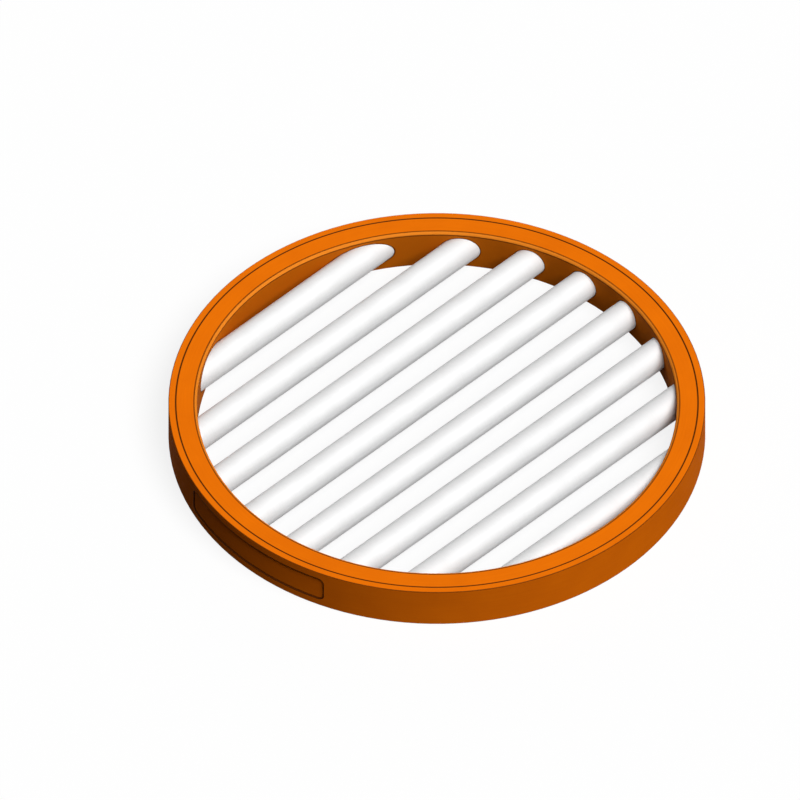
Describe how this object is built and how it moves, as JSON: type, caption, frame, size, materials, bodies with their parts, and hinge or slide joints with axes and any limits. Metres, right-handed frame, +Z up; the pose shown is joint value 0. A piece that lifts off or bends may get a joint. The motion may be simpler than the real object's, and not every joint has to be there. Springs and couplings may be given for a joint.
{
  "type": "hopper magnet",
  "caption": "Round grid magnet for the neck of a hopper: stainless magnet rods side by side in an orange plastic ring, with a shallow label pocket on the rim.",
  "frame": {"origin": "centre of the underside", "axes": "+Z up through the opening, against the flow; +Y along the rods; the label pocket faces -Y"},
  "size_m": [0.4422, 0.4422, 0.037],
  "materials": {
    "frame_orange": "satin, solid orange",
    "rod_stainless": "ground and polished stainless",
    "magnet_nickel": "nickel plated",
    "pole_steel": "plain turned steel"
  },
  "bodies": {
    "root": {"ring_frame": "frame_orange", "outer_band": "frame_orange", "rod_tube_1": "rod_stainless", "rod_tube_2": "rod_stainless", "rod_tube_3": "rod_stainless", "rod_tube_4": "rod_stainless", "rod_tube_5": "rod_stainless", "rod_tube_6": "rod_stainless", "rod_tube_7": "rod_stainless", "rod_tube_8": "rod_stainless", "front_plug_1": "rod_stainless", "front_plug_2": "rod_stainless", "front_plug_3": "rod_stainless", "front_plug_4": "rod_stainless", "front_plug_5": "rod_stainless", "front_plug_6": "rod_stainless", "front_plug_7": "rod_stainless", "front_plug_8": "rod_stainless", "back_plug_1": "rod_stainless", "back_plug_2": "rod_stainless", "back_plug_3": "rod_stainless", "back_plug_4": "rod_stainless", "back_plug_5": "rod_stainless", "back_plug_6": "rod_stainless", "back_plug_7": "rod_stainless", "back_plug_8": "rod_stainless", "magnets_1": "magnet_nickel", "magnets_2": "magnet_nickel", "magnets_3": "magnet_nickel", "magnets_4": "magnet_nickel", "magnets_5": "magnet_nickel", "magnets_6": "magnet_nickel", "magnets_7": "magnet_nickel", "magnets_8": "magnet_nickel", "pole_discs_1": "pole_steel", "pole_discs_2": "pole_steel", "pole_discs_3": "pole_steel", "pole_discs_4": "pole_steel", "pole_discs_5": "pole_steel", "pole_discs_6": "pole_steel", "pole_discs_7": "pole_steel", "pole_discs_8": "pole_steel"}
  },
  "joints": []
}
